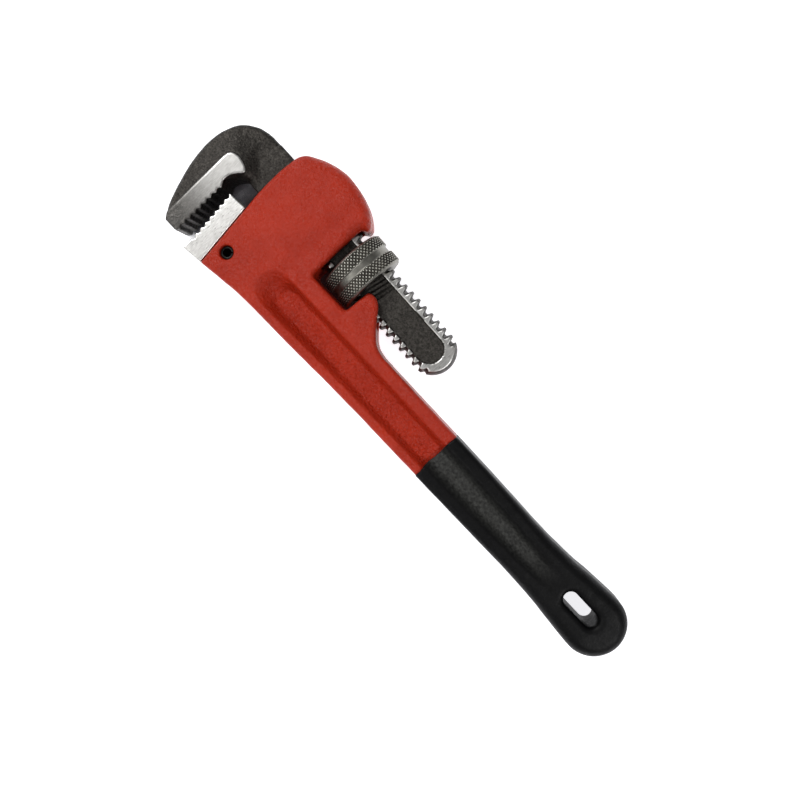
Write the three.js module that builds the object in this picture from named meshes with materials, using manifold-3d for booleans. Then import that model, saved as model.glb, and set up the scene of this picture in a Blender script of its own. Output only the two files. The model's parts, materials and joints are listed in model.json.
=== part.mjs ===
// Pipe wrench, straight pattern, 12 inch class: handle and housing casting, dipped grip, pinned heel jaw,
// hook jaw with a threaded shank, knurled adjusting nut, and the leaf and coil spring inside the head.
// Millimetres. +X runs along the handle to its end, +Y to the hook jaw's shank, +Z out of one side.
import * as THREE from "three";
import { mergeVertices } from "three/addons/utils/BufferGeometryUtils.js";
import Module from "manifold-3d";

const wasm = await Module();
wasm.setup();

// Driving dimensions, measured from the middle of the adjusting nut along X and from the handle's axis in Y.
const HEAD_HALF = 11.5; // half thickness of the head's side plates
const BEAM_HALF = 9.2; // half thickness of the handle's flanges
const WEB_HALF = 5; // half thickness of the handle's web
const BEAM_TOP = 11.8;
const BEAM_BOTTOM = -11.6;
const GRIP_START = 76;
const GRIP_END = 184.6;
const GRIP_END_RADIUS = 13.8;
const GRIP_HALF = 10.2;
const COAT = 1.5; // thickness of the dipped coat
const GAP = 0.3; // clearance between pieces that touch
const CURVE_STEPS = 3; // straight steps between two points of a curved outline

const SLOT = { start: 153.3, end: 170.8, y: 0.5, radius: 3.15 };

const SHANK_Y = 29.4; // height of the shank's axis at the nut
const SHANK_TILT = THREE.MathUtils.degToRad(-1.2); // the springs hold the hook jaw slightly outwards
const THREAD_RADIUS = 10.3;
const THREAD_DEPTH = 1.9;
const LEAD = 4;
const THREAD_START = -14;
const THREAD_PHASE = 0.45; // where a crest stands on the shank's +Y side
const SHANK_DOME_X = 43.5; // centre of the shank's rounded end
const FLAT_HALF = 5.4; // half thickness across the shank's milled flats
const CHANNEL_HALF = 6.2;

const NUT_RADIUS = 15;
const NUT_HALF = 7.1;
const NUT_GROOVE = { half: 1.3, depth: 0.7 };
const NUT_CLEARANCE = 0.35;

const WINDOW = { left: -11.6, right: 8.2, bottom: 13.6 };
const HEAD_FRONT = -51;
const SEAT_TOP = { x: -49.9, y: 12.7 }; // the heel jaw's seat on the housing
const SEAT_BOTTOM = { x: -47, y: -15.8 };

const TOOTH_DEPTH = 1.05;
const TEETH = 8;
const HEEL_HALF = 10;
const HOOK_FACE_HALF = 9.5;
const HOOK_HALF = 7.5;

const PIN = { x: -42.35, y: -5.2, radius: 2.6, half: 9.5 };
const TONGUE = { left: -51, right: -38.6, bottom: -11, top: 8, half: 4 };

const RIVET = { x: -17.5, radius: 1.4, headRadius: 2.4 };
const LEAF = { half: 4, thickness: 0.8 };
const COIL = { x: -33, radius: 2.6, wire: 0.45, bottom: 44.6, top: 46.7, turns: 2 };

// The row's origin is under the middle of the wrench's box, as it lies on one side.
const BOX_CENTRE = { x: 51.5, y: 17.5 };

const redPaint = new THREE.MeshStandardMaterial({ color: 0xa82a20, roughness: 0.45, metalness: 0.1 });
const vinyl = new THREE.MeshStandardMaterial({ color: 0x1a1a1c, roughness: 0.5, metalness: 0 });
const forged = new THREE.MeshStandardMaterial({ color: 0x4a4642, roughness: 0.55, metalness: 0.7 });
const ground = new THREE.MeshStandardMaterial({ color: 0xb8b6b0, roughness: 0.3, metalness: 1 });
const nutSteel = new THREE.MeshStandardMaterial({ color: 0x6a6860, roughness: 0.4, metalness: 0.9 });
const springSteel = new THREE.MeshStandardMaterial({ color: 0x8a8a88, roughness: 0.35, metalness: 1 });
const pinSteel = new THREE.MeshStandardMaterial({ color: 0x2c2a28, roughness: 0.5, metalness: 0.8 });

function toSolid(geometry) {
  const bare = geometry.clone();
  bare.deleteAttribute("normal");
  bare.deleteAttribute("uv");
  const merged = mergeVertices(bare, 1e-4);
  return new wasm.Manifold(
    new wasm.Mesh({
      numProp: 3,
      vertProperties: new Float32Array(merged.attributes.position.array),
      triVerts: new Uint32Array(merged.index.array),
    }),
  );
}

function toMesh(solid, name, material) {
  const cut = solid.getMesh();
  const geometry = new THREE.BufferGeometry();
  geometry.setAttribute("position", new THREE.BufferAttribute(cut.vertProperties, 3));
  geometry.setIndex(new THREE.BufferAttribute(cut.triVerts, 1));
  geometry.computeVertexNormals();
  const mesh = new THREE.Mesh(geometry, material);
  mesh.name = name;
  return mesh;
}

function box(x0, x1, y0, y1, z0, z1) {
  const geometry = new THREE.BoxGeometry(x1 - x0, y1 - y0, z1 - z0);
  geometry.translate((x0 + x1) / 2, (y0 + y1) / 2, (z0 + z1) / 2);
  return toSolid(geometry);
}

function outline(points) {
  return new THREE.Shape(points.map(([x, y]) => new THREE.Vector2(x, y)));
}

// A plate centred on the wrench's middle plane, with chamfered edges.
function plate(shape, half, chamfer = 0) {
  const geometry = new THREE.ExtrudeGeometry(shape, {
    depth: 2 * (half - chamfer),
    curveSegments: CURVE_STEPS,
    bevelEnabled: chamfer > 0,
    bevelThickness: chamfer,
    bevelSize: chamfer,
    bevelOffset: -chamfer,
    bevelSegments: 1,
  });
  geometry.translate(0, 0, chamfer - half);
  return toSolid(geometry);
}

// Both sides' recesses: a floor outline at the given half thickness, with walls that slope outwards.
function recesses(shape, floorHalf, slope, depth) {
  const geometry = new THREE.ExtrudeGeometry(shape, {
    depth: 6,
    bevelEnabled: true,
    bevelThickness: depth,
    bevelSize: slope,
    bevelSegments: 1,
  });
  geometry.translate(0, 0, floorHalf + depth);
  const front = toSolid(geometry);
  return front.add(front.mirror([0, 0, 1]));
}

function stadium(start, end, y, radius) {
  const shape = new THREE.Shape();
  shape.absarc(end - radius, y, radius, -Math.PI / 2, Math.PI / 2);
  shape.absarc(start + radius, y, radius, Math.PI / 2, (3 * Math.PI) / 2);
  shape.closePath();
  return shape;
}

function rod(radius, half, sides = 24) {
  const geometry = new THREE.CylinderGeometry(radius, radius, 2 * half, sides);
  geometry.rotateX(Math.PI / 2);
  return toSolid(geometry);
}

// A right-hand single-start thread on the X axis: its surface winds along the helix, one turn after another.
function threadedRod({ radius, depth, widen, from, to, segments = 32 }) {
  const rise = depth * 0.42;
  const crestHalf = 0.55 + widen;
  const profile = [
    [-crestHalf - rise, radius - depth],
    [-crestHalf, radius],
    [crestHalf, radius],
    [crestHalf + rise, radius - depth],
  ];
  const perTurn = profile.length;
  const turns = Math.ceil((to - from) / LEAD) + 3;
  const rows = perTurn * turns;
  const first = Math.floor((from - THREAD_PHASE) / LEAD) * LEAD + THREAD_PHASE - LEAD;
  const vertices = [];
  const ids = new Map();
  const vertex = (row, column) => {
    const key = column === segments ? `${row + perTurn},0` : `${row},${column}`;
    if (!ids.has(key)) {
      const angle = (2 * Math.PI * column) / segments;
      const [offset, r] = profile[row % perTurn];
      const x = first + LEAD * (Math.floor(row / perTurn) + column / segments) + offset;
      ids.set(key, vertices.length / 3);
      vertices.push(x, r * Math.cos(angle), r * Math.sin(angle));
    }
    return ids.get(key);
  };
  for (let row = 0; row <= rows + perTurn; row += 1) vertex(row, 0);
  const faces = [];
  for (let row = 0; row < rows; row += 1) {
    for (let column = 0; column < segments; column += 1) {
      const a = vertex(row, column);
      const b = vertex(row + 1, column);
      const c = vertex(row + 1, column + 1);
      const d = vertex(row, column + 1);
      faces.push(a, d, c, a, c, b);
    }
  }
  const addEnd = (row, isStart) => {
    const rim = [];
    for (let column = 0; column < segments; column += 1) rim.push(vertex(row, column));
    for (let step = perTurn; step > 0; step -= 1) rim.push(vertex(row + step, 0));
    const centre = vertices.length / 3;
    vertices.push(first + LEAD * (row / perTurn + 0.5), 0, 0);
    rim.forEach((id, i) => {
      const next = rim[(i + 1) % rim.length];
      faces.push(...(isStart ? [centre, next, id] : [centre, id, next]));
    });
  };
  addEnd(0, true);
  addEnd(rows, false);
  const geometry = new THREE.BufferGeometry();
  geometry.setAttribute("position", new THREE.Float32BufferAttribute(vertices, 3));
  geometry.setIndex(faces);
  const far = 3 * radius;
  return toSolid(geometry).intersect(box(from, to, -far, far, -far, far));
}

// Tooth points along a straight line from one end to the other, with the valleys set back along (bx, by).
function teeth([x0, y0], [x1, y1], [bx, by], count) {
  const points = [];
  for (let i = 0; i < count; i += 1) {
    const crest = i / count;
    const valley = (i + 0.5) / count;
    points.push([x0 + (x1 - x0) * crest, y0 + (y1 - y0) * crest]);
    points.push([x0 + (x1 - x0) * valley + bx, y0 + (y1 - y0) * valley + by]);
  }
  points.push([x1, y1]);
  return points;
}

function headShape() {
  const shape = new THREE.Shape();
  shape.moveTo(SEAT_BOTTOM.x, SEAT_BOTTOM.y);
  shape.splineThru([[-36.2, -14.4], [-23.9, -13.2], [4.6, -12.4], [32, BEAM_BOTTOM]].map(toPoint));
  shape.lineTo(32, BEAM_TOP);
  shape.lineTo(27.2, BEAM_TOP);
  shape.splineThru([[23.1, 15], [19.1, 19.1], [15.4, 23.9], [12.6, 25.9], [8.2, 25.4]].map(toPoint));
  shape.lineTo(WINDOW.right, WINDOW.bottom + 1.5);
  shape.quadraticCurveTo(WINDOW.right, WINDOW.bottom, WINDOW.right - 1.5, WINDOW.bottom);
  shape.lineTo(WINDOW.left + 1.5, WINDOW.bottom);
  shape.quadraticCurveTo(WINDOW.left, WINDOW.bottom, WINDOW.left, WINDOW.bottom + 1.5);
  shape.lineTo(WINDOW.left, 40.5);
  shape.lineTo(-9, 42.6);
  shape.splineThru([[-15.9, 49], [-24.1, 51.3], [-30.2, 51.9], [-40.4, 49.7], [-48.5, 45]].map(toPoint));
  shape.lineTo(-50, 41.2);
  shape.lineTo(HEAD_FRONT, 36);
  shape.lineTo(HEAD_FRONT, 19);
  shape.lineTo(SEAT_TOP.x, SEAT_TOP.y);
  shape.closePath();
  return shape;
}

function toPoint([x, y]) {
  return new THREE.Vector2(x, y);
}

// The handle's end as the dipped coat shows it, or the tang inside it when inset.
function gripShape(start, inset) {
  const endX = GRIP_END - GRIP_END_RADIUS;
  const radius = GRIP_END_RADIUS - inset;
  const shape = new THREE.Shape();
  const lowerSide = [
    [126, BEAM_BOTTOM + 0.3 + inset],
    [150, -12 + inset],
    [endX - 4, 0.3 - radius],
  ];
  const upperSide = [
    [150, 12.6 - inset],
    [126, BEAM_TOP - 0.5 - inset],
    [start, BEAM_TOP - inset],
  ];
  shape.moveTo(start, BEAM_BOTTOM + inset);
  shape.splineThru(lowerSide.map(toPoint));
  shape.absarc(endX, 0.3, radius, -Math.PI / 2 + 0.1, Math.PI / 2 - 0.1);
  shape.splineThru(upperSide.map(toPoint));
  shape.closePath();
  return shape;
}

function beamShape() {
  return outline([
    [20, BEAM_BOTTOM],
    [GRIP_START + COAT, BEAM_BOTTOM],
    [GRIP_START + COAT, BEAM_TOP],
    [20, BEAM_TOP],
  ]);
}

function panelShape(start, end, top, bottom) {
  return outline([
    [start + 3, bottom],
    [end - 3, bottom],
    [end, (top + bottom) / 2],
    [end - 3, top],
    [start + 3, top],
    [start, (top + bottom) / 2],
  ]);
}

function makeHousing() {
  const tangInset = COAT + GAP;
  const tang = plate(gripShape(GRIP_START - 3, tangInset), GRIP_HALF - tangInset, 1);
  const slotWall = stadium(SLOT.start - COAT - GAP, SLOT.end + COAT + GAP, SLOT.y, SLOT.radius + COAT + GAP);
  let body = plate(headShape(), HEAD_HALF, 1);
  body = body.add(plate(beamShape(), BEAM_HALF, 1).subtract(box(GRIP_START - 1, 90, -20, 20, -20, 20)));
  body = body.add(tang.subtract(plate(slotWall, 20)));
  body = body.subtract(recesses(panelShape(-19, 146, 3.3, -4.9), WEB_HALF, 2.9, BEAM_HALF - WEB_HALF));
  const channel = outline([
    [HEAD_FRONT - 3, 17.4],
    [WINDOW.left + 1, 18.4],
    [WINDOW.left + 1, 41],
    [-13, 41],
    [-13, 45.7],
    [-22, 47.5],
    [-44, 47.5],
    [-46, 42.6],
    [HEAD_FRONT - 3, 42.6],
  ]);
  body = body.subtract(plate(channel, CHANNEL_HALF));
  body = body.subtract(box(WINDOW.right - 1, 40, 17.4, 40, -CHANNEL_HALF, CHANNEL_HALF));
  const { left, right, bottom, top, half } = TONGUE;
  body = body.subtract(box(left - 3, right + 0.6, bottom - 0.5, top + 0.5, -half - 0.4, half + 0.4));
  body = body.subtract(rod(PIN.radius + GAP, 20).translate([PIN.x, PIN.y, 0]));
  const rivetHole = new THREE.CylinderGeometry(RIVET.radius + GAP, RIVET.radius + GAP, 4.5, 16);
  rivetHole.translate(RIVET.x, 45.9, 0);
  body = body.subtract(toSolid(rivetHole));
  return toMesh(body, "handle_housing", redPaint);
}

function makeGrip() {
  const outer = plate(gripShape(GRIP_START, 0), GRIP_HALF, 2);
  const cavityShape = gripShape(GRIP_START - 4, COAT);
  const slotPost = stadium(SLOT.start - COAT, SLOT.end + COAT, SLOT.y, SLOT.radius + COAT);
  const cavity = plate(cavityShape, GRIP_HALF - COAT, 1).subtract(plate(slotPost, 20));
  const webRoom = recesses(panelShape(-19, 145.6, 3.3 - GAP, -4.9 + GAP), WEB_HALF + GAP, 2.9, 4);
  let sleeve = outer.subtract(cavity.subtract(webRoom));
  const relief = recesses(panelShape(GRIP_START - 10, 144, 2.2, -3.8), WEB_HALF + GAP + COAT, 2.4, 4);
  sleeve = sleeve.subtract(relief);
  sleeve = sleeve.subtract(plate(stadium(SLOT.start, SLOT.end, SLOT.y, SLOT.radius), 20));
  return toMesh(sleeve, "grip_sleeve", vinyl);
}

function makeHeelJaw() {
  const seat = 0.35; // joint line in front of the housing
  const crestTop = [-58.85, 11.7];
  const crestBottom = [-56.6, -12.3];
  const shape = outline([
    [SEAT_BOTTOM.x - seat, -15.9],
    [SEAT_TOP.x - seat, 12.6],
    [-58.4, 12.1],
    ...teeth(crestTop, crestBottom, [TOOTH_DEPTH, 0.1], TEETH),
    [-56.3, -16.9],
  ]);
  const tongue = box(TONGUE.left, TONGUE.right, TONGUE.bottom, TONGUE.top, -TONGUE.half, TONGUE.half);
  const body = plate(shape, HEEL_HALF)
    .add(tongue)
    .subtract(rod(PIN.radius + GAP, 20).translate([PIN.x, PIN.y, 0]));
  return toMesh(body, "heel_jaw", ground);
}

function makeHeelJawPin() {
  return toMesh(rod(PIN.radius, PIN.half).translate([PIN.x, PIN.y, 0]), "heel_jaw_pin", pinSteel);
}

function alongShank(solid) {
  return solid.rotate([0, 0, THREE.MathUtils.radToDeg(SHANK_TILT)]).translate([0, SHANK_Y, 0]);
}

function makeHookJaw() {
  const thread = threadedRod({
    radius: THREAD_RADIUS,
    depth: THREAD_DEPTH,
    widen: 0,
    from: THREAD_START - 0.5,
    to: SHANK_DOME_X + THREAD_RADIUS + 0.1,
  });
  const dome = toSolid(new THREE.SphereGeometry(THREAD_RADIUS + 0.1, 32, 16)).translate([SHANK_DOME_X, 0, 0]);
  const reach = box(THREAD_START - 1, SHANK_DOME_X, -11, 11, -FLAT_HALF, FLAT_HALF);
  const slab = box(THREAD_START - 1, 60, -11, 11, -FLAT_HALF, FLAT_HALF);
  let shank = thread.intersect(slab).intersect(reach.add(dome));
  shank = shank.add(box(-60, THREAD_START, -9.9, 9.9, -FLAT_HALF, FLAT_HALF));
  const panel = plate(stadium(-30, 48.4, -0.6, 6), 20);
  const floors = box(-40, 60, -11, 11, -FLAT_HALF + 0.6, FLAT_HALF - 0.6);
  shank = shank.subtract(panel.subtract(floors));

  const crestTop = [-62.9, 11.2];
  const crestBottom = [-62.9, -12.8];
  const toothSide = teeth(crestTop, crestBottom, [-TOOTH_DEPTH, 0], TEETH);
  const hook = new THREE.Shape();
  hook.moveTo(-54.6, 40.3);
  hook.lineTo(-65.6, 40.5);
  hook.splineThru([[-73.9, 37.4], [-78.2, 33.3], [-81.2, 25.1], [-81.6, 17.5], [-80.4, 8.7]].map(toPoint));
  hook.splineThru([[-78, 0.4], [-74.7, -7.8], [-72.2, -11.9], [-69.7, -14.4]].map(toPoint));
  hook.lineTo(-64, -14.4);
  toothSide.reverse().forEach(([x, y]) => hook.lineTo(x, y));
  hook.splineThru([[-64.4, 14], [-61.8, 19.2], [-57.5, 20.9], [-54.6, 20.9]].map(toPoint));
  hook.closePath();

  const face = new THREE.Shape();
  face.moveTo(-64, -14.4);
  toothSide.forEach(([x, y]) => face.lineTo(x, y));
  face.splineThru([[-64.6, 14.3], [-62.6, 19.5], [-60.9, 22], [-62.6, 23.6], [-66.2, 24.8]].map(toPoint));
  face.splineThru([[-69.5, 24.2], [-71.1, 22.8], [-71.5, 20]].map(toPoint));
  face.lineTo(-71.5, -12.4);
  face.lineTo(-69.7, -14.4);
  face.closePath();
  const body = alongShank(shank)
    .add(plate(hook, HOOK_HALF))
    .add(plate(face, HOOK_FACE_HALF));
  return toMesh(body, "hook_jaw", forged);
}

function makeNut() {
  const chamfer = 1;
  const profile = [
    [0, -NUT_HALF],
    [NUT_RADIUS - chamfer, -NUT_HALF],
    [NUT_RADIUS, -NUT_HALF + chamfer],
    [NUT_RADIUS, -NUT_GROOVE.half - NUT_GROOVE.depth],
    [NUT_RADIUS - NUT_GROOVE.depth, -NUT_GROOVE.half],
    [NUT_RADIUS - NUT_GROOVE.depth, NUT_GROOVE.half],
    [NUT_RADIUS, NUT_GROOVE.half + NUT_GROOVE.depth],
    [NUT_RADIUS, NUT_HALF - chamfer],
    [NUT_RADIUS - chamfer, NUT_HALF],
    [0, NUT_HALF],
  ].map(toPoint);
  const turned = new THREE.LatheGeometry(profile, 48);
  turned.rotateZ(-Math.PI / 2);
  const thread = threadedRod({
    radius: THREAD_RADIUS + NUT_CLEARANCE,
    depth: THREAD_DEPTH,
    widen: NUT_CLEARANCE,
    from: -NUT_HALF - 2,
    to: NUT_HALF + 2,
  });
  return toMesh(alongShank(toSolid(turned).subtract(thread)), "adjusting_nut", nutSteel);
}

// A bent strip: riveted in the crest, it slopes down until its tip bears on the shank.
function makeLeafSpring() {
  const t = LEAF.thickness;
  const shape = outline([
    [-14, 44.2],
    [-14, 44.2 + t],
    [-22, 44.2 + t],
    [-43, 41.2 + t],
    [-45, 42.2],
    [-44.8, 41.2],
    [-43, 40.75],
    [-22, 44.2],
  ]);
  const hole = new THREE.CylinderGeometry(RIVET.radius + GAP, RIVET.radius + GAP, 6, 16);
  hole.translate(RIVET.x, 44.5, 0);
  return toMesh(plate(shape, LEAF.half).subtract(toSolid(hole)), "leaf_spring", springSteel);
}

function makeRivet() {
  const head = new THREE.CylinderGeometry(RIVET.headRadius, RIVET.headRadius, 1, 16);
  head.translate(RIVET.x, 43.4, 0);
  const stem = new THREE.CylinderGeometry(RIVET.radius, RIVET.radius, 4.4, 16);
  stem.translate(RIVET.x, 45.4, 0);
  return toMesh(toSolid(head).add(toSolid(stem)), "spring_rivet", pinSteel);
}

class Helix extends THREE.Curve {
  getPoint(t, target = new THREE.Vector3()) {
    const angle = 2 * Math.PI * COIL.turns * t;
    const y = COIL.bottom + (COIL.top - COIL.bottom) * t;
    return target.set(COIL.x + COIL.radius * Math.cos(angle), y, COIL.radius * Math.sin(angle));
  }
}

function makeCoilSpring() {
  const wire = new THREE.Shape();
  wire.absarc(0, 0, COIL.wire, 0, 2 * Math.PI);
  const geometry = new THREE.ExtrudeGeometry(wire, {
    steps: 12 * COIL.turns,
    curveSegments: 3,
    bevelEnabled: false,
    extrudePath: new Helix(),
  });
  return toMesh(toSolid(geometry), "coil_spring", springSteel);
}

const wrench = new THREE.Group();
wrench.add(makeHousing());
wrench.add(makeGrip());
wrench.add(makeHeelJaw());
wrench.add(makeHeelJawPin());
wrench.add(makeHookJaw());
wrench.add(makeNut());
wrench.add(makeLeafSpring());
wrench.add(makeRivet());
wrench.add(makeCoilSpring());
wrench.position.set(-BOX_CENTRE.x, -BOX_CENTRE.y, NUT_RADIUS);

export default wrench;
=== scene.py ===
import json
import math

import bpy
import numpy as np
from mathutils import Matrix, Vector


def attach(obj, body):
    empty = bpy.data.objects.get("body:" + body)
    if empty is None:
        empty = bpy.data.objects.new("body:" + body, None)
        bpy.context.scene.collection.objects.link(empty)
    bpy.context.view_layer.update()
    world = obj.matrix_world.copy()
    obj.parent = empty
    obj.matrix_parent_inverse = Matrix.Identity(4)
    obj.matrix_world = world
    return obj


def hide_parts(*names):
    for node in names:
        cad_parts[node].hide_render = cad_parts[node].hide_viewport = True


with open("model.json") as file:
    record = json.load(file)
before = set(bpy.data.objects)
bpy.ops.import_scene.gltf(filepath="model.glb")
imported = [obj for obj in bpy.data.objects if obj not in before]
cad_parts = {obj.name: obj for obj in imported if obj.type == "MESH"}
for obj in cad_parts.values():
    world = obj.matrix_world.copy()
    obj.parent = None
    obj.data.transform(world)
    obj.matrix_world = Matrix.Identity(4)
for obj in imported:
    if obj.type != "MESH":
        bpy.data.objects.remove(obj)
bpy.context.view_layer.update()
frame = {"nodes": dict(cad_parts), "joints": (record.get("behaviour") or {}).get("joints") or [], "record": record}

# Shapes are fields of distances in millimetres: X from the nut's middle along the handle, Y from the
# handle's axis, Z from the wrench's middle plane.
MM = 0.001
JOINTS = {joint["name"]: joint for joint in frame["joints"]}
BODIES = frame["record"]["behaviour"]["bodies"]
BODY_OF = {node: body for body, nodes in BODIES.items() for node in nodes}
# The shank's axis crosses the nut's middle this far above the handle's axis, tilted by TILT.
SHANK_Y = 29.4
hub = Vector(JOINTS["nut_spin"]["pos_m"])
ORIGIN = hub - Vector((0, SHANK_Y * MM, 0))
FEED = Vector(JOINTS["jaw_feed"]["axis"])
TILT = math.atan2(FEED.y, -FEED.x)

# The handle and housing. A half is half of a thickness along Z. COAT is how far the beam steps in
# under the grip, SEAM the casting seam's depth and half width, FLASH a bump's middle and radius.
HEAD_HALF = 11.5
BEAM_HALF = 9.2
WEB_HALF = 5.0
BEAM_TOP = 11.8
BEAM_BOTTOM = -11.6
CHANNEL_HALF = 6.2
CHANNEL_FLOOR = 17.4
WINDOW_LEFT = -11.6
WINDOW_RIGHT = 8.2
WINDOW_BOTTOM = 13.6
WINDOW_CORNER = 1.6
HEAD_FRONT = -51.0
SEAT_TOP = (-49.9, 12.7)
SEAT_BOTTOM = (-47.0, -15.8)
COAT = 1.6
SEAM = (0.2, 0.6)
FLASH = (-35.8, -14.1, 1.1)

# The pin's middle and radius, half of its length, of its wall and of its split, and the room around it.
PIN = (-42.35, -5.2, 2.6)
PIN_HALF = 9.4
PIN_WALL_HALF = 0.42
PIN_SPLIT_HALF = 0.28
PIN_ROOM = 0.3

# The grip. SLOT is the slot's two ends, its middle line and its radius, DRIP a drop's middle and radius.
GRIP_START = 76.0
GRIP_END = 184.6
GRIP_END_RADIUS = 13.8
GRIP_HALF = 10.2
GRIP_PANEL_HALF = 6.8
SLOT = (153.3, 170.8, 0.5, 3.15)
DRIP = (GRIP_END - 0.2, 0.6, 1.3)

# The hook jaw's shank and thread. The panel is the long recess in each flat.
FLAT_HALF = 5.4
SHANK_HALF = 9.9
THREAD_RADIUS = 10.3
THREAD_DEPTH = 1.9
THREAD_START = -14.0
THREAD_PHASE = 0.45
CREST_HALF = 0.55
FLANK_RUN = 0.42 * THREAD_DEPTH
LEAD = 4.0
SHANK_DOME_X = 43.5
PANEL_END = 42.4
PANEL_RADIUS = 6.0
PANEL_DEPTH = 0.75
PANEL_START = -30.0
PANEL_RIDGE_X = 14.2
PANEL_RIDGE_HEIGHT = 0.6
PANEL_RIDGE_HALF = 0.45
CUT_X = 10.0
CUT_PITCH = 1.9
CUT_DEPTH = 0.22

# The nut.
NUT_RADIUS = 15.0
NUT_HALF = 7.1
NUT_CHAMFER = 0.9
NUT_CLEARANCE = 0.35
GROOVE_HALF = 1.3
GROOVE_DEPTH = 0.7
DIAMONDS = 52
KNURL_DEPTH = 0.46

# The jaws' teeth and faces.
TOOTH_DEPTH = 1.05
TEETH = 8
HEEL_TOOTH_TOP = (-58.85, 11.7)
HEEL_TOOTH_BOTTOM = (-56.6, -12.3)
HOOK_TOOTH_BOTTOM = (-62.9, -12.8)
HOOK_TOOTH_TOP = (-62.9, 11.2)
HOOK_CHIN = [(-69.7, -14.4), (-64, -14.4)]
HEEL_HALF = 10.0
HOOK_FACE_HALF = 9.5


# Field tools

def curve(points):
    """Points of a smooth open curve through the given ones."""
    steps = 10
    p = np.array(points, float)
    p = np.vstack([2 * p[0] - p[1], p, 2 * p[-1] - p[-2]])
    out = []
    for i in range(1, len(p) - 2):
        a, b, c, d = p[i - 1 : i + 3]
        square = 2 * a - 5 * b + 4 * c - d
        cube = 3 * b - a - 3 * c + d
        for s in np.arange(steps) / steps:
            out.append(0.5 * (2 * b + (c - a) * s + square * s**2 + cube * s**3))
    out.append(p[-2])
    return [tuple(q) for q in out]


def arc(cx, cy, radius, start, end, steps=24):
    """Points of an arc, with its angles in degrees."""
    angles = np.radians(np.linspace(start, end, steps + 1))
    return [(cx + radius * math.cos(a), cy + radius * math.sin(a)) for a in angles]


def axes(low, high, step):
    """The grid's coordinates along each axis."""
    return [np.arange(a, b + step, step, dtype=np.float32) for a, b in zip(low, high)]


def polygon(points, x, y):
    """Signed distance to a closed outline on the grid's plane, negative inside."""
    px, py = np.meshgrid(x, y, indexing="ij")
    best = np.full(px.shape, 1e9, np.float32)
    inside = np.zeros(px.shape, bool)
    for (ax, ay), (bx, by) in zip(points, points[1:] + points[:1]):
        ex, ey = bx - ax, by - ay
        if ex * ex + ey * ey < 1e-9:
            continue
        wx, wy = px - ax, py - ay
        t = np.clip((wx * ex + wy * ey) / (ex * ex + ey * ey), 0, 1)
        best = np.minimum(best, (wx - ex * t) ** 2 + (wy - ey * t) ** 2)
        if ey:
            inside ^= ((ay > py) != (by > py)) & (px < ex * wy / ey + ax)
    distance = np.sqrt(best)
    return np.where(inside, -distance, distance)


def plate(flat, z, half, radius):
    """A rounded plate of the outline flat, half thick each side of the middle plane."""
    half, radius = (n[..., None] if isinstance(n, np.ndarray) else n for n in (half, radius))
    a = flat[..., None] + radius
    b = np.abs(z) - half + radius
    outside = np.hypot(np.maximum(a, 0), np.maximum(b, 0))
    return np.minimum(np.maximum(a, b), 0) + outside - radius


def blend_min(a, b, width):
    """The join of two fields with a fillet."""
    h = np.maximum(width - np.abs(a - b), 0) / width
    return np.minimum(a, b) - h * h * width / 4


def blend_max(a, b, width):
    """The overlap of two fields with a rounded edge."""
    return -blend_min(-a, -b, width)


def ease(t):
    """A smooth step from 0 to 1 while t goes from 0 to 1."""
    t = np.clip(t, 0, 1)
    return t * t * (3 - 2 * t)


def between(inner, outer):
    """0 inside the inner outline, 1 outside the outer one, and rising evenly from one to the other."""
    gap = np.maximum(inner - outer, 1e-3)
    return np.clip(inner / gap, 0, 1)


def wobble(shape, sizes, seed):
    """Smooth random relief over a plane grid: noise at several sizes in grid steps, about -1 to 1."""
    rng = np.random.default_rng(seed)
    out = np.zeros(shape, np.float32)
    for size in sizes:
        coarse = rng.standard_normal((int(shape[0] / size) + 3, int(shape[1] / size) + 3)).astype(np.float32)
        u = np.arange(shape[0]) / size
        v = np.arange(shape[1]) / size
        i, j = u.astype(int), v.astype(int)
        fu, fv = ease(u - i)[:, None], ease(v - j)[None, :]
        near = coarse[np.ix_(i, j)] * (1 - fu) + coarse[np.ix_(i + 1, j)] * fu
        far = coarse[np.ix_(i, j + 1)] * (1 - fu) + coarse[np.ix_(i + 1, j + 1)] * fu
        out += near * (1 - fv) + far * fv
    return out / len(sizes)


def columns(vertices, low, step, shape):
    """The plane grid's nearest row and column for each vertex."""
    index = ((vertices[:, :2] - np.array(low[:2])) / step).round().astype(int)
    index = np.clip(index, 0, np.array(shape) - 1)
    return index[:, 0], index[:, 1]


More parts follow.
